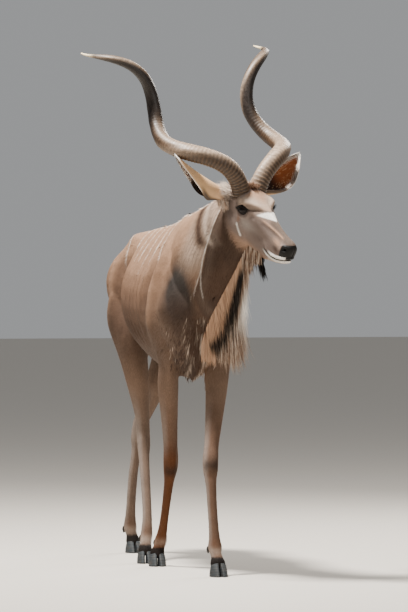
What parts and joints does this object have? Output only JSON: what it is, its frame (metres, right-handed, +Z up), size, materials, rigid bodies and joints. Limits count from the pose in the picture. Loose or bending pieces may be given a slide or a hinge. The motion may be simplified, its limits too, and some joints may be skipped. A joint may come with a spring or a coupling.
{
  "type": "antelope bull model",
  "caption": "Life-size spiral-horned antelope bull in mid walk, with throat fringe and turned head, as a still model.",
  "frame": {"origin": "bottom centre of the bounding box, on the floor under the animal", "axes": "-Y the way the animal walks, +X its left, +Z up"},
  "size_m": [0.8796, 2.132, 2.0751],
  "materials": {
    "ear_left_finish": "short flat hair over hide",
    "ear_right_finish": "short flat hair over hide",
    "eye_left_finish": "wet dark brown",
    "eye_right_finish": "wet dark brown",
    "forehoof_left_finish": "dull grey horn",
    "forehoof_right_finish": "dull grey horn",
    "foreleg_left_lower_finish": "short flat hair over hide",
    "foreleg_left_upper_finish": "short flat hair over hide",
    "foreleg_right_lower_finish": "short flat hair over hide",
    "foreleg_right_upper_finish": "short flat hair over hide",
    "head_finish": "short flat hair over hide",
    "hindhoof_left_finish": "dull grey horn",
    "hindhoof_right_finish": "dull grey horn",
    "hindleg_left_lower_finish": "short flat hair over hide",
    "hindleg_left_upper_finish": "short flat hair over hide",
    "hindleg_right_lower_finish": "short flat hair over hide",
    "hindleg_right_upper_finish": "short flat hair over hide",
    "horn_left_finish": "dull horn with a soft shine",
    "horn_right_finish": "dull horn with a soft shine",
    "neck_finish": "short flat hair over hide",
    "tail_finish": "short flat hair over hide",
    "torso_finish": "short flat hair over hide"
  },
  "bodies": {
    "root": {"ear_left": "ear_left_finish", "ear_right": "ear_right_finish", "eye_left": "eye_left_finish", "eye_right": "eye_right_finish", "forehoof_left": "forehoof_left_finish", "forehoof_right": "forehoof_right_finish", "foreleg_left_lower": "foreleg_left_lower_finish", "foreleg_left_upper": "foreleg_left_upper_finish", "foreleg_right_lower": "foreleg_right_lower_finish", "foreleg_right_upper": "foreleg_right_upper_finish", "head": "head_finish", "hindhoof_left": "hindhoof_left_finish", "hindhoof_right": "hindhoof_right_finish", "hindleg_left_lower": "hindleg_left_lower_finish", "hindleg_left_upper": "hindleg_left_upper_finish", "hindleg_right_lower": "hindleg_right_lower_finish", "hindleg_right_upper": "hindleg_right_upper_finish", "horn_left": "horn_left_finish", "horn_right": "horn_right_finish", "neck": "neck_finish", "tail": "tail_finish", "torso": "torso_finish"}
  },
  "joints": []
}
